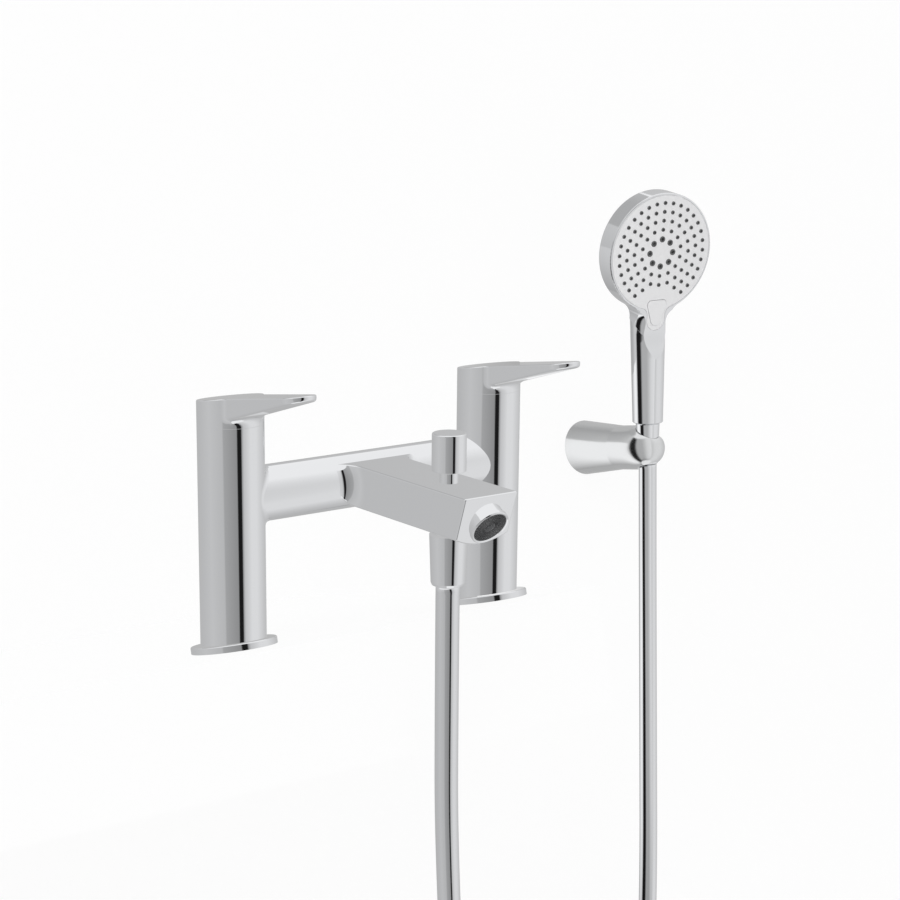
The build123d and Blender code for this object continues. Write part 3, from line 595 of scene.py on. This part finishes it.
# Matt paint, pale, that keeps a faint shadow; its back is clear, so that the object shows from behind too
mattPaint, tree, shader = startMaterial("mattPaint", "#F7F7F7", 0.0, 0.9)[:3]
path = addNode(tree, "ShaderNodeLightPath")
glow = addNode(tree, "ShaderNodeEmission", {"Strength": 1.0})
clear = addNode(tree, "ShaderNodeBsdfTransparent")
facing = addNode(tree, "ShaderNodeNewGeometry")
share = addNode(
    tree, "ShaderNodeMath", {"operation": "MULTIPLY", 1: stage["whiteShare"]}, _0=path.outputs["Is Camera Ray"]
)
lit = addNode(tree, "ShaderNodeMixShader", None, _0=share.outputs[0], _1=shader.outputs[0], _2=glow.outputs[0])
behind = addNode(
    tree, "ShaderNodeMath", {"operation": "MULTIPLY"},
    _0=path.outputs["Is Camera Ray"], _1=facing.outputs["Backfacing"],
)
whole = addNode(tree, "ShaderNodeMixShader", None, _0=behind.outputs[0], _1=lit.outputs[0], _2=clear.outputs[0])
tree.links.new(whole.outputs[0], tree.nodes["Material Output"].inputs["Surface"])

far, low, back = stage["reach"], stage["floorZ"], stage["wallY"]
front, end = stage["ledgeFront"], stage["ledgeEnd"]
foot, top = stage["ledgeFoot"], stage["ledgeTop"]
floor = [(-far, -far, low), (far, -far, low), (far, far, low), (-far, far, low)]
wall = [(-far, back, low), (far, back, low), (far, back, far), (-far, back, far)]
ledge = [
    (-far, front, foot), (end, front, foot), (end, front, top), (-far, front, top), (end, back, top), (-far, back, top),
]
stageMesh("floor", floor, [(0, 1, 2, 3)], mattPaint, False)
stageMesh("wall", wall, [(0, 1, 2, 3)], mattPaint, False)
stageMesh("ledge", ledge, [(0, 1, 2, 3), (3, 2, 4, 5)], mattPaint, False)

# Studio: tone cards stand round the mixer and, closer, round the hand shower; only reflections see them.
# Angles run from straight in front (-Y), positive towards +X, and each tone blends into the next. Round the mixer:
# grey cards at the left and back, a black flag in front, a pale card at the right. Round the hand shower: a white
# card at the back left, a black flag beside it, then grey and pale. Tones are plain sRGB greys, divided by the
# plating's own grey so that they show as written; rows are heights in metres with a gain
studio = {"cardStep": 1.5, "platingGrey": 232, "diffuseLevel": 0.72}
plating = linearChannel(studio["platingGrey"] / 255)
mixerCards = {
    "centre": (0.0, 0.0),
    "radius": 3.2,
    "rows": [(-8.0, 1.0), (0.3, 1.0), (2.8, 1.18)],
    "tones": [
        (-213, 170), (-110, 190), (-64, 180), (-60, 160), (-14, 140), (-11, 25), (2, 25), (5, 150), (12, 190),
        (40, 215), (66, 215), (110, 190), (147, 170),
    ],
}
handCards = {
    "centre": (0.408, 0.19),
    "radius": 0.15,
    "rows": [(-0.42, 0.28), (-0.20, 0.9), (-0.08, 1.0), (0.13, 1.0)],
    "tones": [
        (-180, 160), (-150, 240), (-130, 240), (-122, 190), (-116, 25), (-93, 25), (-86, 140), (-80, 170),
        (-50, 170), (-20, 210), (8, 220),
    ],
}
# Level with the shower head the ring turns greyer at the back, for the flank of the head
headCards = {
    "centre": handCards["centre"],
    "radius": handCards["radius"],
    "rows": [(0.13, 1.0), (0.25, 1.0)],
    "tones": [
        (-180, 160), (-150, 180), (-130, 200), (-122, 190), (-116, 25), (-93, 25), (-86, 140), (-80, 170),
        (-50, 170), (-20, 210), (8, 220),
    ],
}
# A grey roof card behind the mixer, for the top of the same flank
roofCards = {
    "centre": (0.0, 0.0),
    "radius": 3.2,
    "rows": [(2.8, 1.0), (8.0, 1.0)],
    "tones": [(-222, 180), (-200, 170), (-150, 170), (-120, 230)],
}

cardGlow = bpy.data.materials.new("cardGlow")
cardGlow.use_nodes = True
tree = cardGlow.node_tree
tree.nodes.clear()
tone = addNode(tree, "ShaderNodeAttribute", {"attribute_name": "tone"})
glow = addNode(tree, "ShaderNodeEmission", None, Strength=tone.outputs["Fac"])
clear = addNode(tree, "ShaderNodeBsdfTransparent")
facing = addNode(tree, "ShaderNodeNewGeometry")
inward = addNode(
    tree, "ShaderNodeMixShader", None, _0=facing.outputs["Backfacing"], _1=glow.outputs[0], _2=clear.outputs[0]
)
addNode(tree, "ShaderNodeOutputMaterial", None, Surface=inward.outputs[0])


# The tone at an angle, between the two that stand beside it
def toneAt(tones, angle):
    for (a, toneA), (b, toneB) in zip(tones, tones[1:]):
        if a <= angle <= b:
            return toneA + (toneB - toneA) * (angle - a) / (b - a)
    return tones[-1][1]


# One ring of cards that lights reflections alone, with its tones kept at its points
def toneCards(name, cards):
    tones = cards["tones"]
    first, last = tones[0][0], tones[-1][0]
    steps = int((last - first) / studio["cardStep"])
    points, levels = [], []
    for step in range(steps + 1):
        angle = first + (last - first) * step / steps
        level = linearChannel(toneAt(tones, angle) / 255) / plating
        x = cards["centre"][0] + cards["radius"] * math.sin(math.radians(angle))
        y = cards["centre"][1] - cards["radius"] * math.cos(math.radians(angle))
        for height, gain in cards["rows"]:
            points.append((x, y, height))
            levels.append(level * gain)
    tall = len(cards["rows"])
    faces = [
        (a, a + 1, a + tall + 1, a + tall)
        for step in range(steps) for a in range(step * tall, step * tall + tall - 1)
    ]
    ring = stageMesh(name, points, faces, cardGlow, True)
    ring.data.attributes.new("tone", "FLOAT", "POINT").data.foreach_set("value", levels)
    ring.visible_camera = False
    ring.visible_diffuse = False
    ring.visible_shadow = False


toneCards("mixerCards", mixerCards)
toneCards("handCards", handCards)
toneCards("headCards", headCards)
toneCards("roofCards", roofCards)

# A wide soft lamp at the upper left, and a white world that gives a little less to diffuse light
softLamp = {"place": (-1.5, -1.9, 2.0), "aim": (0.15, 0.05, 0.05), "size": 1.6, "watts": 26.0}
lamp = bpy.data.lights.new("softLamp", "AREA")
lamp.size = softLamp["size"]
lamp.energy = softLamp["watts"]
lampObject = bpy.data.objects.new("softLamp", lamp)
bpy.context.scene.collection.objects.link(lampObject)
lampObject.location = softLamp["place"]
aim = Vector(softLamp["aim"]) - Vector(softLamp["place"])
lampObject.rotation_euler = aim.to_track_quat("-Z", "Y").to_euler()
lampObject.visible_glossy = False

world = bpy.data.worlds.new("softStudio")
bpy.context.scene.world = world
world.use_nodes = True
tree = world.node_tree
tree.nodes.clear()
path = addNode(tree, "ShaderNodeLightPath")
seen = addNode(
    tree, "ShaderNodeMath", {"operation": "MAXIMUM"}, _0=path.outputs["Is Camera Ray"], _1=path.outputs["Is Glossy Ray"]
)
seen = addNode(
    tree, "ShaderNodeMath", {"operation": "MAXIMUM"}, _0=seen.outputs[0], _1=path.outputs["Is Transmission Ray"]
)
level = addNode(tree, "ShaderNodeMapRange", {"To Min": studio["diffuseLevel"], "To Max": 1.0}, Value=seen.outputs[0])
sky = addNode(tree, "ShaderNodeBackground", {"Color": (1.0, 1.0, 1.0, 1.0)}, Strength=level.outputs["Result"])
addNode(tree, "ShaderNodeOutputWorld", None, Surface=sky.outputs[0])
bpy.context.scene.view_settings.view_transform = "Standard"
print("stage and light ready")

bpy.context.view_layer.update()
